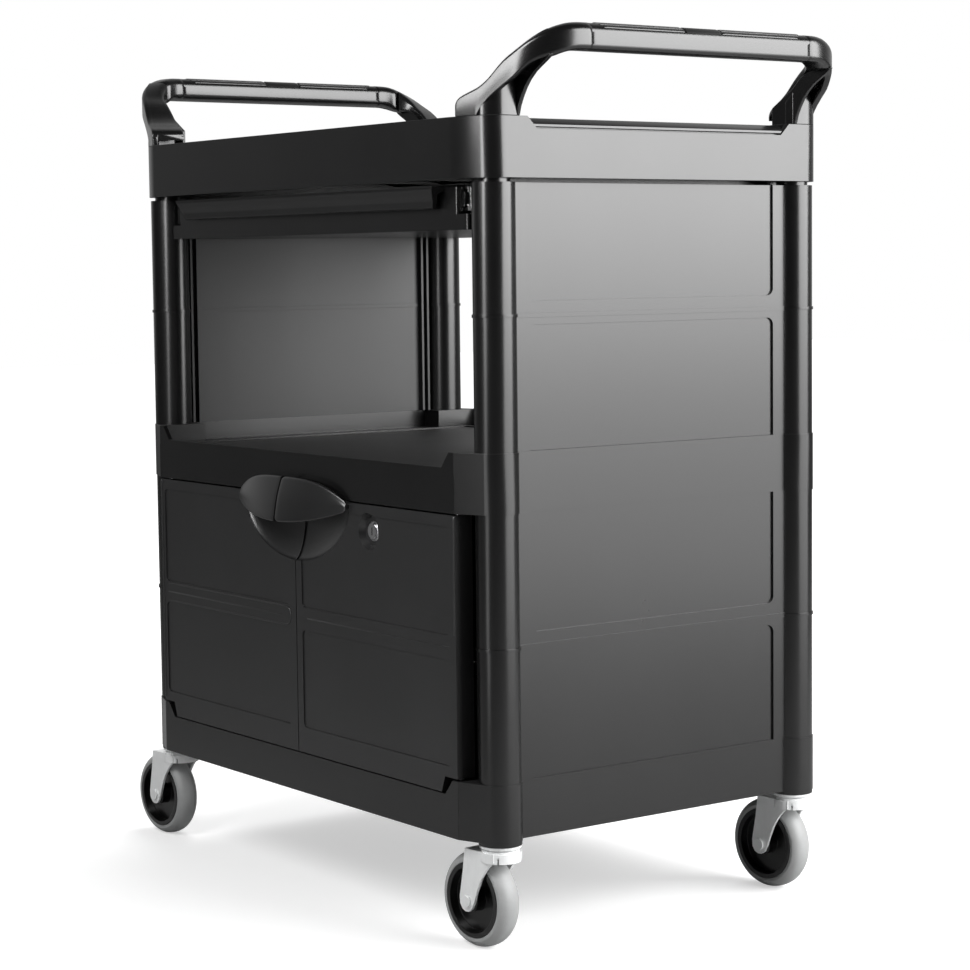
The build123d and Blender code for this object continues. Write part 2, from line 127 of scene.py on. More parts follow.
def plastic(name, dark, light, rough, spread, grain, wave, tint=(1, 1, 1.02), inner=0.0, up=0.0):
    """Moulded plastic: faint colour drift, scuffed roughness, fine grain and
    the slow waviness of a large moulding."""
    n = Nodes(name)
    c1 = tuple(dark * t for t in tint)
    c2 = tuple(light * t for t in tint)
    mott = n.noise(7.0, 5.0, 0.6)
    speck = n.noise(420.0, 2.0, 0.6, seed=3.1)
    mix = n.math("ADD", n.math("MULTIPLY", mott, 0.75), n.math("MULTIPLY", speck, 0.25))
    n.link(n.ramp(mix, [(0.32, c1), (0.68, c2)]), n.p.inputs["Base Color"])
    scuff = n.noise(9.0, 2.0, 0.5, stretch=(1.0, 1.0, 0.45), seed=1.7)
    fine = n.noise(160.0, 2.0, 0.5, seed=8.0)
    r = n.math("ADD", n.rng(scuff, 0.25, 0.75, rough - spread, rough + spread), n.rng(fine, 0.3, 0.7, -0.006, 0.006))
    if inner:
        # the back of a panel, towards the middle of the cart, is matt
        sn = n.new("ShaderNodeSeparateXYZ")
        sp = n.new("ShaderNodeSeparateXYZ")
        n.link(n.tc.outputs["Normal"], sn.inputs[0])
        n.link(n.co, sp.inputs[0])
        r = n.math("ADD", r, n.rng(n.math("MULTIPLY", sn.outputs[0], sp.outputs[0]), 0.02, -0.02, 0.0, inner))
    if up:
        # shelf floors are textured, so they are duller than the walls
        su = n.new("ShaderNodeSeparateXYZ")
        n.link(n.tc.outputs["Normal"], su.inputs[0])
        r = n.math("ADD", r, n.rng(su.outputs[2], 0.6, 0.95, 0.0, up))
    n.link(r, n.p.inputs["Roughness"])
    b1 = n.bump(n.noise(1500.0, 2.0, 0.6, seed=5.0), grain, 0.00008)
    b2 = n.bump(n.noise(11.0, 2.0, 0.4, seed=2.0), wave, 0.0006, b1)
    n.link(b2, n.p.inputs["Normal"])
    n.p.inputs["IOR"].default_value = 1.6
    return n.mat


def metal(name, c1, c2, rough, spread, stretch, bump, metallic=1.0):
    n = Nodes(name)
    n.p.inputs["Metallic"].default_value = metallic
    a = n.noise(60.0, 4.0, 0.6, seed=4.0)
    s = n.noise(500.0, 3.0, 0.6, stretch=stretch, seed=6.0)
    mix = n.math("ADD", n.math("MULTIPLY", a, 0.6), n.math("MULTIPLY", s, 0.4))
    n.link(n.ramp(mix, [(0.3, c1), (0.7, c2)]), n.p.inputs["Base Color"])
    n.link(n.rng(mix, 0.3, 0.7, rough - spread, rough + spread), n.p.inputs["Roughness"])
    n.link(n.bump(s, bump, 0.00005), n.p.inputs["Normal"])
    return n.mat


def rubber(name, c1, c2, rough):
    n = Nodes(name)
    a = n.noise(38.0, 5.0, 0.65)
    s = n.noise(900.0, 2.0, 0.5, seed=2.0)
    mix = n.math("ADD", n.math("MULTIPLY", a, 0.7), n.math("MULTIPLY", s, 0.3))
    n.link(n.ramp(mix, [(0.3, c1), (0.7, c2)]), n.p.inputs["Base Color"])
    n.link(n.rng(a, 0.3, 0.7, rough - 0.05, rough + 0.08), n.p.inputs["Roughness"])
    n.link(n.bump(s, 0.25, 0.00008), n.p.inputs["Normal"])
    return n.mat


M = {
    "black_plastic": plastic("black_plastic", 0.0022, 0.0040, 0.255, 0.014, 0.11, 0.03),
    "door_plastic": plastic("door_plastic", 0.0105, 0.0150, 0.33, 0.016, 0.16, 0.03),
    "handle_plastic": plastic("handle_plastic", 0.0020, 0.0038, 0.235, 0.012, 0.10, 0.02),
    "hub_plastic": plastic("hub_plastic", 0.0016, 0.0028, 0.30, 0.02, 0.12, 0.03),
    "pull_plastic": plastic("pull_plastic", 0.010, 0.014, 0.30, 0.014, 0.12, 0.02),
    "tray_plastic": plastic("tray_plastic", 0.0022, 0.0040, 0.255, 0.014, 0.11, 0.03, up=0.30),
    "panel_plastic": plastic("panel_plastic", 0.0022, 0.0040, 0.255, 0.014, 0.11, 0.03, inner=0.22),
    "grey_tyre": rubber("grey_tyre", (0.33, 0.335, 0.335), (0.39, 0.395, 0.395), 0.5),
    "zinc_steel": metal("zinc_steel", (0.82, 0.83, 0.83), (0.90, 0.91, 0.91), 0.32, 0.05, (1, 1, 0.1), 0.12, metallic=0.15),
    "steel": metal("steel", (0.5, 0.5, 0.51), (0.62, 0.62, 0.63), 0.30, 0.08, (1, 0.1, 1), 0.2),
    "chrome": metal("chrome", (0.86, 0.86, 0.87), (0.92, 0.92, 0.93), 0.12, 0.03, (0.1, 1, 1), 0.1),
}
M["grip_plate"] = plastic("grip_plate", 0.0012, 0.0022, 0.42, 0.03, 0.25, 0.03)
M["gap_dark"] = plastic("gap_dark", 0.003, 0.005, 0.6, 0.03, 0.2, 0.03)

SIDE_BODY = {"left": "door_left", "right": "door_right"}
SLOT = {s["node"]: s["material_slot"] for s in frame["record"]["subparts"]}


def dress(node, width=0.0008, seg=2):
    o = NODES[node]
    o.data.materials.clear()
    o.data.materials.append(M["panel_plastic" if node.startswith("end_panel") else "tray_plastic" if node in ("middle_tray", "bottom_tray", "top_tray") else SLOT[node]])
    w = o.modifiers.new("weld", "WELD")
    w.merge_threshold = 0.00002
    if width:
        b = o.modifiers.new("bevel", "BEVEL")
        b.width = width
        b.segments = seg
        b.limit_method = "ANGLE"
        b.angle_limit = math.radians(32)
        b.use_clamp_overlap = True
        b.miter_outer = "MITER_ARC"
    wn = o.modifiers.new("normals", "WEIGHTED_NORMAL")
    wn.keep_sharp = True
    wn.weight = 60
    return o


for n in NODES:
    fine_edge = n.startswith(("end_panel", "post_", "drawer"))
    dress(n, 0.0004 if fine_edge else 0.0008, 2)


# -------------------------------------------------------------- mesh helpers
def piece(name, verts, faces, mat, body, slot, reps=(), smooth=True, bevel=0.0, seg=2, subsurf=0, angle=35, ring=True):
    me = bpy.data.meshes.new(name)
    me.from_pydata([tuple(v) for v in verts], [], [tuple(f) for f in faces])
    me.validate()
    me.update()
    o = bpy.data.objects.new(name, me)
    COL.objects.link(o)
    import bmesh
    bm = bmesh.new()
    bm.from_mesh(me)
    bmesh.ops.remove_doubles(bm, verts=bm.verts, dist=0.000002)
    bmesh.ops.recalc_face_normals(bm, faces=bm.faces)
    lim = math.radians(angle)
    for e in bm.edges:
        if len(e.link_faces) == 2:
            e.smooth = e.calc_face_angle(0.0) < lim
    for f in bm.faces:
        f.smooth = smooth
    bm.to_mesh(me)
    bm.free()
    me.materials.append(M[mat])
    if bevel:
        b = o.modifiers.new("bevel", "BEVEL")
        b.width = bevel
        b.segments = seg
        b.limit_method = "ANGLE"
        b.angle_limit = math.radians(angle)
        b.use_clamp_overlap = True
    if subsurf:
        s = o.modifiers.new("sub", "SUBSURF")
        s.levels = s.render_levels = subsurf
    if bevel:
        wn = o.modifiers.new("normals", "WEIGHTED_NORMAL")
        wn.keep_sharp = True
        wn.weight = 60
    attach(o, body)
    if reps:
        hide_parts(*reps)
    return o


def flip(sx, sy):
    return lambda p: (p[0] * sx, p[1] * sy, p[2])


def loft(rings, cap=True, mir=None):
    """rings: lists of (x, y, z) in millimetres, all the same length."""
    f = mir or (lambda p: p)
    verts, faces = [], []
    n = len(rings[0])
    for r in rings:
        verts += [V(*f(p)) for p in r]
    for i in range(len(rings) - 1):
        for j in range(n):
            a, b = i * n + j, i * n + (j + 1) % n
            faces.append((a, b, b + n, a + n))
    if cap:
        faces.append(tuple(range(n))[::-1])
        faces.append(tuple((len(rings) - 1) * n + j for j in range(n)))
    return verts, faces


def join(*parts):
    verts, faces = [], []
    for v, f in parts:
        k = len(verts)
        verts += v
        faces += [tuple(i + k for i in q) for q in f]
    return verts, faces


def interp(tab, x):
    if x <= tab[0][0]:
        return tab[0][1]
    for (a, b), (c, d) in zip(tab, tab[1:]):
        if x <= c:
            return b + (d - b) * (x - a) / (c - a)
    return tab[-1][1]


def smooth_tab(tab, x):
    """Monotone-ish cubic through the table."""
    n = len(tab)
    if x <= tab[0][0]:
        return tab[0][1]
    if x >= tab[-1][0]:
        return tab[-1][1]
    for i in range(n - 1):
        if x <= tab[i + 1][0]:
            x0, y0 = tab[i]
            x1, y1 = tab[i + 1]
            h = x1 - x0
            s = (y1 - y0) / h
            sm = (y0 - tab[i - 1][1]) / (x0 - tab[i - 1][0]) if i > 0 else s
            sp = (tab[i + 2][1] - y1) / (tab[i + 2][0] - x1) if i + 2 < n else s
            m0 = 0.0 if sm * s <= 0 else 2 * sm * s / (sm + s)
            m1 = 0.0 if sp * s <= 0 else 2 * sp * s / (sp + s)
            t = (x - x0) / h
            return (y0 * (2 * t ** 3 - 3 * t * t + 1) + h * m0 * (t ** 3 - 2 * t * t + t)
                    + y1 * (3 * t * t - 2 * t ** 3) + h * m1 * (t ** 3 - t * t))
    return tab[-1][1]


# ---------------------------------------------------------------- push handles
# Plan of the outer face of an arm: along the tray's corner facet, then round
# to the outside of the grip.
ARC_C, ARC_R = (352.5, -150.6), 67.0
FACET0 = (304.5, -236.5)
FACET_N = math.radians(-70.6)
TX, TY = math.cos(FACET_N + math.pi / 2), math.sin(FACET_N + math.pi / 2)
LINE_END = 74.4                                   # length along the facet line
ARC_LEN = ARC_R * (-FACET_N)
ARM_END = LINE_END + ARC_LEN + 4.6


def arm_face(s):
    """Point and outward normal angle on the outer face at distance s."""
    ex, ey = FACET0[0] + TX * LINE_END, FACET0[1] + TY * LINE_END
    if s <= LINE_END:
        return FACET0[0] + TX * s, FACET0[1] + TY * s, FACET_N
    a = (s - LINE_END) / ARC_R
    if a <= -FACET_N:
        n = FACET_N + a
        cx, cyy = ex - ARC_R * math.cos(FACET_N), ey - ARC_R * math.sin(FACET_N)
        return cx + ARC_R * math.cos(n), cyy + ARC_R * math.sin(n), n
    cx, cyy = ex - ARC_R * math.cos(FACET_N), ey - ARC_R * math.sin(FACET_N)
    return cx + ARC_R, cyy + (s - LINE_END - ARC_LEN), 0.0


UP = [(6.9, 858.5), (8.6, 862.8), (12.4, 866.2), (22, 870.3), (34.2, 875.1), (46.3, 883.2), (58.3, 894.9), (67, 902.2), (77, 908.6),
      (96, 920.4), (111, 927.9), (123.5, 931.9), (137.5, 934.6), (150, 935.3), (ARM_END, 935.4)]
LOW = [(6.9, 847.0), (32.5, 847.0), (34.5, 850.5), (46.3, 863.0), (61.5, 873.4), (78.5, 883.6), (85.5, 889.3), (98.5, 897.0),
       (111, 900.8), (123.5, 903.6), (133.5, 906.4), (147, 908.3), (ARM_END, 908.3)]
THICK = [(6.9, 38.0), (32, 37.0), (50, 33.5), (66, 29.5), (85, 27.0), (110, 28.0), (135, 29.2), (ARM_END, 29.5)]
R_TOP = [(6.9, 2.5), (34, 3.0), (60, 4.0), (90, 6.5), (120, 9.5), (ARM_END, 11.0)]


def corner_pts(cx, cz, r, a0, a1, n=6):
    return [(cx + r * math.cos(a0 + (a1 - a0) * i / n), cz + r * math.sin(a0 + (a1 - a0) * i / n)) for i in range(n + 1)]


def tube_section(t, lo, up, rt, rti, rb, rbi):
    """(w, z) ring: w is depth behind the outer face."""
    h = up - lo
    k = min(1.0, 0.49 * h / max(rt, rb, rti, rbi))
    rt, rb, rti, rbi = rt * k, rb * k, rti * k, rbi * k
    pts = []
    pts += corner_pts(rt, up - rt, rt, math.pi, math.pi / 2)
    pts += corner_pts(t - rti, up - rti, rti, math.pi / 2, 0)
    pts += corner_pts(t - rbi, lo + rbi, rbi, 0, -math.pi / 2)
    pts += corner_pts(rb, lo + rb, rb, -math.pi / 2, -math.pi)
    return pts


ARM_S = [6.9, 7.6, 8.6, 10.2, 12.4, 16, 22, 28, 31, 32.5, 34.5, 37, 42, 46.3, 52, 58.3, 63, 67, 72, 77, 82, 87, 92, 97, 103, 108, 113, 118, 123,
         128, 133, 138, 143, 148, 152, 156, ARM_END - 1.2, ARM_END]
SKIN = [(6.9, 7.0), (92, 7.5), (104, 12.0), (114, 22.0), (122, 28.3), (135, 29.2), (ARM_END, 29.5)]
CORE_LOW = [(6.9, 7.0), (40, 8.0), (62, 9.5), (80, 12.0), (94, 17.0), (106, 23.5), (116, 26.5)]


def arm_ring(s, w0, t, lo, up, ra, rb, rc, rd):
    x, y, n = arm_face(s)
    sec = tube_section(t, lo, up, ra, rb, rc, rd)
    return [(x - math.cos(n) * (w + w0), y - math.sin(n) * (w + w0), z) for w, z in sec]


def arm_band(mir):
    rings = []
    for s in ARM_S:
        up, lo, t = smooth_tab(UP, s), smooth_tab(LOW, s), smooth_tab(SKIN, s)
        sh = 0.9 if s >= ARM_END - 0.01 else (0.8 if s <= 7.0 else 0.0)
        rt = smooth_tab(R_TOP, s)
        rings.append(arm_ring(s, sh, t - 2 * sh, lo + (sh if s > 100 else 0), up - sh, rt, smooth_tab([(6.9, 0.8), (96, 1.0), (118, 9.0), (ARM_END, 11.0)], s),
                              smooth_tab([(6.9, 0.8), (60, 1.2), (120, 4.5), (ARM_END, 5.5)], s), smooth_tab([(6.9, 0.8), (96, 1.2), (120, 6.5), (ARM_END, 8.0)], s)))
    return loft(rings, True, mir)


def arm_core(mir):
    """The rest of the arm behind its skin: shallow at the foot, full height at the grip."""
    rings = []
    for s in [q for q in ARM_S if 7.5 < q < 117]:
        up, t = smooth_tab(UP, s) - 0.05, smooth_tab(THICK, s)
        lo = up - smooth_tab(CORE_LOW, s)
        rings.append(arm_ring(s, 4.5, t - 4.5, lo, up, 0.3, smooth_tab(R_TOP, s), 0.3, smooth_tab([(6.9, 1.0), (90, 2.0), (116, 6.0)], s)))
    return loft(rings, True, mir)


def prism(poly, z0, z1, mir=None):
    """poly in plan, z0 and z1 numbers or functions of (x, y)."""
    f = mir or (lambda p: p)
    lo = [V(*f((x, y, z0(x, y) if callable(z0) else z0))) for x, y in poly]
    hi = [V(*f((x, y, z1(x, y) if callable(z1) else z1))) for x, y in poly]
    n = len(poly)
    faces = [(i, (i + 1) % n, n + (i + 1) % n, n + i) for i in range(n)]
    faces.append(tuple(range(n))[::-1])
    faces.append(tuple(n + i for i in range(n)))
    return lo + hi, faces


def slab_xz(poly, y0, y1, mir=None):
    f = mir or (lambda p: p)
    a = [V(*f((x, y0, z))) for x, z in poly]
    b = [V(*f((x, y1, z))) for x, z in poly]
    n = len(poly)
    faces = [(i, (i + 1) % n, n + (i + 1) % n, n + i) for i in range(n)]
    faces.append(tuple(range(n))[::-1])
    faces.append(tuple(n + i for i in range(n)))
    return a + b, faces


def s_of_x(x):
    return (x - FACET0[0]) / TX


for sx, side in ((1, "right"), (-1, "left")):
    for sy, end in ((1, "front"), (-1, "back")):
        mir = flip(sx, sy)
        node = "handle_arm_%s_%s" % (side, end)
        piece("arm_band_%s_%s" % (side, end), *arm_band(mir), "handle_plastic", "frame", "handle_plastic", (node,), angle=50)
        piece("arm_core_%s_%s" % (side, end), *arm_core(mir), "handle_plastic", "frame", "handle_plastic", (), angle=50)
        # round corner column under the band
        cx, cyy, r = 331.0, -202.15, 23.55
        poly = [(cx + r * math.cos(math.radians(a)), cyy + r * math.sin(math.radians(a))) for a in range(-70, 4, 4)]
        poly += [(354.5, -198.0), (354.0, -191.0), (353.2, -186.4), (351.6, -184.6), (340.0, -184.6), (318.0, -200.0), (318.0, -222.0)]
        col = prism(poly, 847.0, lambda x, y: smooth_tab(UP, s_of_x(max(x, 316.0))) - 5.5, mir)
        piece("arm_column_%s_%s" % (side, end), *col, "handle_plastic", "frame", "handle_plastic", (), angle=30, bevel=0.0006)
        web = [(318, 847), (353.7, 847), (356.6, 856), (361.2, 864.8), (367, 873.4), (373.8, 881), (383, 888.2), (392, 893.2), (399, 896.8), (405, 900.2), (409, 903.4), (400, 906),
               (390, 907), (379, 904), (363, 896.5), (350, 885), (318, 866)]
        wb = slab_xz(web, -189.0, -185.0, mir)
        piece("arm_web_%s_%s" % (side, end), *wb, "handle_plastic", "frame", "handle_plastic", (), angle=30, bevel=0.0008)


def grip(sx, side):
    mir = flip(sx, 1)
    rings = []
    x1 = 419.5
    ys = [-145.6, -144.9, -140, -100, -60, -24, 0, 24, 60, 100, 140, 144.9, 145.6]
    for y in ys:
        sh = 0.8 if abs(y) > 145 else 0.0
        sec = tube_section(29.5 - 2 * sh, 908.3 + sh, 935.2 - sh, 11.0, 11.0, 5.5, 8.0)
        rings.append([(x1 - sh - w, y, z) for w, z in sec])
    piece("grip_body_" + side, *loft(rings, True, mir), "handle_plastic", "frame", "handle_plastic", ("grip_" + side,), angle=50)
    # three finger ribs along each shoulder, stopping at the plain middle plate
    cxo, cz, r = x1 - 11.0, 935.2 - 11.0, 11.0
    cxi = x1 - 29.5 + 11.0
    for y0, y1 in ((-137.0, -25.5), (25.5, 137.0)):
        for k, a in enumerate((38, 62, 86, 94, 118, 142)):
            cxx = cxo if a < 90 else cxi
            ar = math.radians(a)
            px, pz = cxx + r * math.cos(ar), cz + r * math.sin(ar)
            tx, tz = -math.sin(ar), math.cos(ar)
            off = {0: 8, 1: 4, 2: 0, 3: 0, 4: 4, 5: 8}[k]
            ya, yb = (y0 + off, y1) if y0 < 0 else (y0, y1 - off)
            rg = []
            for y, sc in ((ya, 0.15), (ya + 1.2, 0.75), (ya + 3.5, 1.0), (yb - 2.0, 1.0), (yb, 0.6)):
                ring = []
                for j in range(10):
                    b = 2 * math.pi * j / 10
                    u, w = 1.5 * math.cos(b), 0.85 * sc * math.sin(b)
                    ring.append((px + tx * u * (0.6 + 0.4 * sc) + math.cos(ar) * w, y, pz + tz * u * (0.6 + 0.4 * sc) + math.sin(ar) * w))
                rg.append(ring)
            piece("grip_rib_%s_%d_%s" % (side, k, "front" if y0 < 0 else "back"), *loft(rg, True, mir), "handle_plastic", "frame", "handle_plastic", (), angle=60)
    # plain rectangular plates in the middle of each shoulder
    for tag, cxx, sg in (("outer", cxo, 1), ("inner", cxi, -1)):
        rg = []
        for y, d in ((-23.6, -0.2), (-23.0, 0.5), (-22.0, 0.7), (22.0, 0.7), (23.0, 0.5), (23.6, -0.2)):
            ring = []
            for a in range(28, 89, 6):
                ar = math.radians(a)
                ring.append((cxx + sg * (r + d) * math.cos(ar), y, cz + (r + d) * math.sin(ar)))
            for a in range(88, 27, -6):
                ar = math.radians(a)
                ring.append((cxx + sg * (r - 1.2) * math.cos(ar), y, cz + (r - 1.2) * math.sin(ar)))
            rg.append(ring)
        piece("grip_plate_%s_%s" % (side, tag), *loft(rg, True, mir), "grip_plate", "frame", "handle_plastic", (), angle=40)


grip(1, "right")
grip(-1, "left")

# ------------------------------------------------------ back panel edge returns
for sg, side in ((1, "right"), (-1, "left")):
    poly = [(302.6, 200.5), (306.6, 200.5), (307.2, 201.2), (307.2, 229.6), (306.4, 230.6), (303.4, 230.6), (303.4, 204.0), (302.6, 203.0)]
    e = prism(poly, 177.2, 449.4, flip(sg, 1))
    piece("back_panel_return_" + side, *e, "black_plastic", "frame", "black_plastic", (), angle=30, bevel=0.0004)

# ------------------------------- top tray with the full length of its end cut-outs
import bmesh
bm = bmesh.new()
bm.from_mesh(NODES["top_tray"].data)
bmesh.ops.remove_doubles(bm, verts=bm.verts, dist=0.00002)
for v in bm.verts:
    ax, ay = abs(v.co.x), abs(v.co.y - SY)
    if 0.3485 < ax < 0.3552 and abs(ay - 0.152) < 0.0003 and abs(v.co.z - 0.835) < 0.0004:
        v.co.y = SY + math.copysign(0.1645, v.co.y - SY)
    elif 0.3485 < ax < 0.3552 and abs(ay - 0.172) < 0.0003 and abs(v.co.z - 0.847) < 0.0004:
        v.co.y = SY + math.copysign(0.1765 if ax > 0.352 else 0.1738, v.co.y - SY)
bmesh.ops.recalc_face_normals(bm, faces=bm.faces)
for e in bm.edges:
    if len(e.link_faces) == 2:
        e.smooth = e.calc_face_angle(0.0) < math.radians(32)
for f in bm.faces:
    f.smooth = True
shell = bpy.data.meshes.new("top_tray_shell")
bm.to_mesh(shell)
bm.free()
shell.materials.append(M["tray_plastic"])
shell_ob = bpy.data.objects.new("top_tray_shell", shell)
COL.objects.link(shell_ob)
bv = shell_ob.modifiers.new("bevel", "BEVEL")
bv.width = 0.0008
bv.segments = 2
bv.limit_method = "ANGLE"
bv.angle_limit = math.radians(32)
bv.use_clamp_overlap = True
wn = shell_ob.modifiers.new("normals", "WEIGHTED_NORMAL")
wn.keep_sharp = True
wn.weight = 60
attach(shell_ob, "frame")
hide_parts("top_tray")

# --------------------------------------------- inner rims of the top tray's ends
for sg, side in ((1, "right"), (-1, "left")):
    rg = []
    for y, d in ((-177.0, 5.0), (-175.0, 1.5), (-172.0, 0.0), (172.0, 0.0), (175.0, 1.5), (177.0, 5.0)):
        d = min(d, 5.0)
        sec = [(348.6, 833.0), (348.6, 836.4 - 0.1 * d), (352.2, 836.5 - 0.2 * d), (352.9, 837.1 - 0.3 * d), (352.7, 839.3 - 0.5 * d), (351.6, 840.6 - 0.6 * d), (343.2, 845.0 - d), (341.4, 845.8 - d), (338.6, 846.0 - d), (337.0, 845.2 - d), (336.6, 833.0)]
        rg.append([(x, y, z) for x, z in sec])
    piece("end_rim_" + side, *loft(rg, True, flip(sg, 1)), "black_plastic", "frame", "black_plastic", (), angle=30)

# ----------------------------------------------------------------- door pulls
def pull_ring(x, inset=0.0):
    u = min(x, 112.0) / 112.0
    zt = 471.5 - 23.0 * u ** 3.2
    zb = 421.5 + 17.0 * u ** 2.2
    yt = -253.0 + 12.6 * u ** 2.4
    yb = -264.5 + 22.5 * u ** 1.9
    zc = 440.0 + 0.4 * u
    zr = min(447.0, zt - 1.0)
    A = (-239.4, max(zt - 3.5, zr + 0.5))
    B, C, D = (yt, zt), (yb, zb), (yb + 3.2 - 1.6 * u, zb - 0.4)

    def mixp(p, q, t):
        return (p[0] + (q[0] - p[0]) * t, p[1] + (q[1] - p[1]) * t)

    def curve(p, c, q, n):
        return [mixp(mixp(p, c, i / n), mixp(c, q, i / n), i / n) for i in range(n + 1)]

    L1 = math.hypot(B[0] - A[0], B[1] - A[1])
    L2 = math.hypot(C[0] - B[0], C[1] - B[1])
    k1, k2 = min(0.6, 3.2 / max(L1, 0.1)), min(0.3, 4.2 / L2)
    pts = [(-236.5, zc), (-236.5, zr - 0.5), (-239.4, zr), A]
    pts += curve(mixp(B, A, k1), B, mixp(B, C, k2), 5)
    nx, nz = -(B[1] - C[1]) / L2, (B[0] - C[0]) / L2
    for i in range(1, 8):
        t = k2 + (1 - 2 * k2) * i / 8.0
        bow = (1.3 - 0.6 * u) * math.sin(math.pi * i / 8.0)
        q = mixp(B, C, t)
        pts.append((q[0] + nx * bow, q[1] + nz * bow))
    pts += curve(mixp(C, B, k2 * 0.5), C, mixp(C, D, 0.7), 4)
    pts.append(D)
    pts.append((min(yb + 14 - 10 * u, -238.2), zc))
    if inset:
        my = sum(q[0] for q in pts) / len(pts)
        mz = sum(q[1] for q in pts) / len(pts)
        pts = [(q[0] + (my - q[0]) * inset if q[0] < -238 else q[0], q[1] + (mz - q[1]) * inset) for q in pts]
    return [(x, max(q[0], -264.45) if q[0] > -264.45 else -264.45, q[1]) for q in pts]


for sg, side in ((1, "right"), (-1, "left")):
    if side == "left":
        rg = [pull_ring(0.75, 0.006), pull_ring(1.0, 0.0)]
    else:
        rg = [pull_ring(0.75, 0.11), pull_ring(1.4, 0.085), pull_ring(3.0, 0.05), pull_ring(5.0, 0.02)]
    rg += [pull_ring(x) for x in (8, 18, 28, 38, 48, 57, 65, 73, 80, 86, 92, 97, 101, 104.5, 107.0)]
    rg += [pull_ring(109.0, 0.10), pull_ring(110.4, 0.26), pull_ring(110.9, 0.5)]
    piece("pull_grip_" + side, *loft(rg, True, flip(sg, 1)), "pull_plastic", SIDE_BODY[side], "black_plastic", ("pull_" + side,), angle=42)

# raised seam edge of the left door inside the finger bowl
rg = []
for k in range(17):
    z = 374.6 + (440.0 - 374.6) * k / 16.0
    q = max(0.0, 1.0 - ((z - 448.0) / 72.0) ** 2)
    yb = -236.5 + 17.5 * math.sqrt(q)
    pr = 1.5 if 0 < k < 16 else 0.2
    rg.append([(-0.75, yb + 1.0, z), (-0.75, yb - pr, z), (-1.5, yb - pr, z), (-4.2, yb + 0.1, z), (-4.2, yb + 1.0, z)])
piece("door_seam_edge_left", *loft(rg, True), "door_plastic", "door_left", "black_plastic", (), angle=30)

# rolled outer edges of the doors
for sg, side, z0, z1 in ((1, "right", 326.0, 447.2), (-1, "left", 181.0, 447.2)):
    rg = []
    for z, q in ((z0, 0.1), (z0 + 1.2, 0.8), (z0 + 3.0, 1.0), (z1 - 3.0, 1.0), (z1 - 1.2, 0.8), (z1, 0.1)):
        rg.append([(303.3 + 1.6 * math.cos(math.pi * j / 10), -236.4 - 1.2 * q * math.sin(math.pi * j / 10), z) for j in range(11)])
    piece("door_rolled_edge_" + side, *loft(rg, True, flip(sg, 1)), "door_plastic", SIDE_BODY[side], "black_plastic", (), angle=50)

# rounded end of the raised bar across the left door, and the lip line of the right one
def rail(name, pts, w, h, mat, body):
    """A low rounded bead on a door face following points (x, z)."""
    rg = []
    n = len(pts)
    for i, (x, z) in enumerate(pts):
        a, b = pts[max(0, i - 1)], pts[min(n - 1, i + 1)]
        L = math.hypot(b[0] - a[0], b[1] - a[1])
        tx, tz = (b[0] - a[0]) / L, (b[1] - a[1]) / L
        q = 0.15 if i in (0, n - 1) else 1.0
        rg.append([(x - tz * w * math.cos(math.pi * j / 8), -236.4 - h * q * math.sin(math.pi * j / 8), z + tx * w * math.cos(math.pi * j / 8)) for j in range(9)])
    piece(name, *loft(rg, True), mat, body, "black_plastic", (), angle=50)


end_arc = [(-22.0 + 10.5 * math.sin(math.radians(a)), 312.2 + 10.5 * math.cos(math.radians(a))) for a in range(0, 181, 15)]
rail("door_bar_edge_left", [(-292, 322.7), (-200, 322.7), (-100, 322.7), (-40, 322.7)] + end_arc + [(-40, 301.7), (-100, 301.7), (-200, 301.7), (-292, 301.7)], 0.9, 0.8, "door_plastic", "door_left")
rail("door_bar_middle_left", [(-292, 312.2), (-291, 312.2), (-120, 312.2), (-33, 312.2), (-31, 312.2)], 0.8, 0.5, "door_plastic", "door_left")
rail("door_bar_middle_right", [(22, 313.0), (23, 313.0), (150, 313.0), (291, 313.0), (292, 313.0)], 0.8, 0.6, "door_plastic", "door_right")

# ------------------------------------------------- small domes under the tray ends
for sg, side in ((1, "right"), (-1, "left")):
    for y in (-172.5, 172.5):
        rg = []
        for d, q in ((0.0, 1.0), (1.3, 0.94), (2.3, 0.72), (2.9, 0.4), (3.1, 0.08)):
            rg.append([(353.2 + d * 0.42, y + 5.4 * q * math.cos(math.pi * j / 10), 786.1 + 4.4 * q * math.sin(math.pi * j / 10)) for j in range(11)])
        piece("rim_dome_%s_%s" % (side, "front" if y < 0 else "back"), *loft(rg, True, flip(sg, 1)), "black_plastic", "frame", "black_plastic", (), angle=50)

# ----------------------------------------------------------------- the stage
def area(name, loc, target, sx, sy, power, spread=180.0):
    d = bpy.data.lights.new(name, "AREA")
    d.shape = "RECTANGLE"
    d.size, d.size_y = sx, sy
    d.energy = power
    d.spread = math.radians(spread)
    o = bpy.data.objects.new(name, d)
    COL.objects.link(o)
    o.location = loc
    dv = Vector(target) - Vector(loc)
    o.rotation_euler = dv.to_track_quat("-Z", "Y").to_euler()
    o.visible_camera = False
    return o


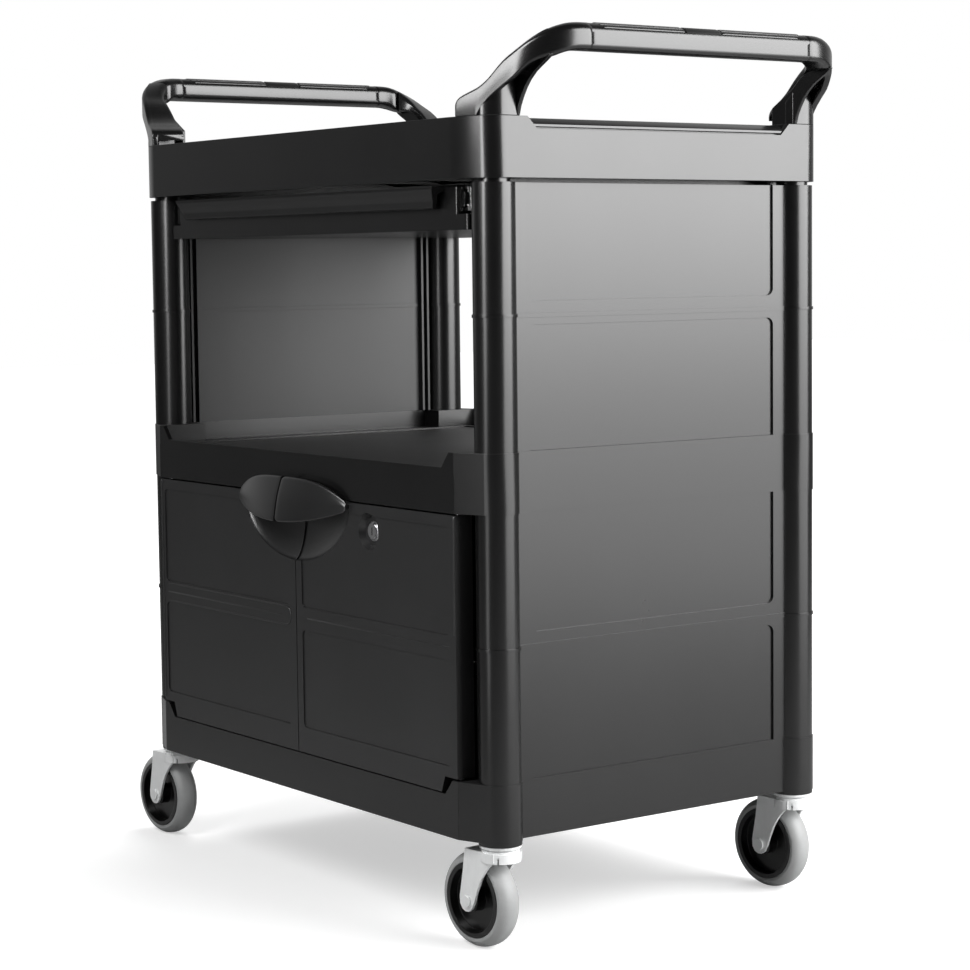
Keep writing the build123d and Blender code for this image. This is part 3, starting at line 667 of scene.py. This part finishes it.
# floor: to the camera it glows with painted light, weaker near the cart (painted shade round it) and stronger further
# out; every other ray sees a dim grey floor
fl = bpy.data.meshes.new("floor")
fl.from_pydata([(-14, -14, 0), (14, -14, 0), (14, 14, 0), (-14, 14, 0)], [], [(0, 1, 2, 3)])
floor = bpy.data.objects.new("floor", fl)
COL.objects.link(floor)
fn = Nodes("floor_painted_glow")
fn.p.inputs["Base Color"].default_value = (0.66, 0.66, 0.66, 1)
fn.p.inputs["Roughness"].default_value = 0.9
fn.p.inputs["Specular IOR Level"].default_value = 0.1
em = fn.new("ShaderNodeEmission")
far = fn.new("ShaderNodeVectorMath", operation="LENGTH")
fn.link(fn.co, far.inputs[0])
# painted floor glow: strength 0.5 within 0.9 m of the cart, rising to 1.1 at 2.2 m
fn.link(fn.rng(far.outputs["Value"], 0.9, 2.2, 0.50, 1.1), em.inputs["Strength"])
lp = fn.new("ShaderNodeLightPath")
mx = fn.new("ShaderNodeMixShader")
ad = fn.new("ShaderNodeAddShader")
fn.link(fn.p.outputs[0], ad.inputs[0])
fn.link(em.outputs[0], ad.inputs[1])
fn.link(lp.outputs["Is Camera Ray"], mx.inputs[0])
dim = fn.new("ShaderNodeBsdfDiffuse")
dim.inputs["Color"].default_value = (0.40, 0.40, 0.40, 1)
fn.link(dim.outputs[0], mx.inputs[1])
fn.link(ad.outputs[0], mx.inputs[2])
fn.link(mx.outputs[0], fn.out.inputs[0])
fl.materials.append(fn.mat)

# world: white behind the object, dim elsewhere, brighter towards the back left
w = bpy.data.worlds.new("studio")
bpy.context.scene.world = w
w.use_nodes = True
t = w.node_tree
t.nodes.clear()
wo = t.nodes.new("ShaderNodeOutputWorld")
bg1 = t.nodes.new("ShaderNodeBackground")
bg1.inputs[0].default_value = (1, 1, 1, 1)
bg1.inputs[1].default_value = 1.0
bg2 = t.nodes.new("ShaderNodeBackground")
wm = t.nodes.new("ShaderNodeMixShader")
wl = t.nodes.new("ShaderNodeLightPath")
tc = t.nodes.new("ShaderNodeTexCoord")
dt = t.nodes.new("ShaderNodeVectorMath")
dt.operation = "DOT_PRODUCT"
dt.inputs[1].default_value = (-0.80, 0.58, 0.10)
mr = t.nodes.new("ShaderNodeMapRange")
mr.interpolation_type = "SMOOTHSTEP"
mr.inputs[1].default_value = 0.15
mr.inputs[2].default_value = 0.95
mr.inputs[3].default_value = 0.05
mr.inputs[4].default_value = 0.75
t.links.new(tc.outputs["Generated"], dt.inputs[0])
t.links.new(dt.outputs["Value"], mr.inputs[0])
t.links.new(mr.outputs[0], bg2.inputs[1])
t.links.new(wl.outputs["Is Camera Ray"], wm.inputs[0])
t.links.new(bg2.outputs[0], wm.inputs[1])
t.links.new(bg1.outputs[0], wm.inputs[2])
t.links.new(wm.outputs[0], wo.inputs[0])

# large soft boxes
# one tall box in bands, dimmer towards the floor
for k, (z0, z1, glow) in enumerate(((0.03, 0.30, 2.8), (0.30, 0.48, 2.9), (0.48, 0.64, 5.0), (0.64, 0.80, 7.8), (0.80, 2.45, 9.7))):
    zc = (z0 + z1) / 2
    area("end_box_%d" % k, (2.05, 1.12, zc), (0.35, 0.066, zc), 2.22, z1 - z0, glow * math.pi * 2.22 * (z1 - z0))
# a narrow strip in front, for the highlight on the round corners
for k, (z0, z1, glow, xc, wd) in enumerate(((0.10, 0.50, 1.9, 0.32, 0.24), (0.50, 0.60, 3.2, 0.32, 0.24), (0.60, 0.76, 5.6, 0.32, 0.24), (0.76, 0.94, 11.5, 0.32, 0.24),
                                            (0.94, 1.90, 14.0, 0.17, 0.50))):
    zc = (z0 + z1) / 2
    area("strip_box_%d" % k, (xc, -1.15, zc), (xc, -0.2, zc), wd, z1 - z0, glow * math.pi * wd * (z1 - z0))
top = area("top_box", (-0.9, 1.05, 2.7), (0.0, 0.0, 0.4), 1.9, 1.9, 55)
top.visible_glossy = False

# --------------------------------------------------------------------- camera
C = Vector((2.33404, -1.68072 + SY, 0.69953))
yaw, pitch, roll = math.radians(54.45), math.radians(-4.895), math.radians(-0.705)
f0 = Vector((-math.sin(yaw), math.cos(yaw), 0))
r0 = Vector((math.cos(yaw), math.sin(yaw), 0))
u0 = Vector((0, 0, 1))
f2 = f0 * math.cos(pitch) + u0 * math.sin(pitch)
u2 = u0 * math.cos(pitch) - f0 * math.sin(pitch)
r3 = r0 * math.cos(roll) + u2 * math.sin(roll)
u3 = u2 * math.cos(roll) - r0 * math.sin(roll)
cd = bpy.data.cameras.new("camera")
cam = bpy.data.objects.new("camera", cd)
COL.objects.link(cam)
cam.matrix_world = Matrix(((r3.x, u3.x, -f2.x, C.x), (r3.y, u3.y, -f2.y, C.y), (r3.z, u3.z, -f2.z, C.z), (0, 0, 0, 1)))
cd.sensor_width = 36.0
cd.lens = 2482.3 / 970.0 * 36.0
cd.shift_x = (485.0 - 458.41) / 970.0
cd.shift_y = (478.32 - 485.0) / 970.0
cd.clip_start = 0.05
bpy.context.scene.camera = cam
vs = bpy.context.scene.view_settings
vs.view_transform = "Standard"
vs.look = "None"
vs.exposure = 0.0
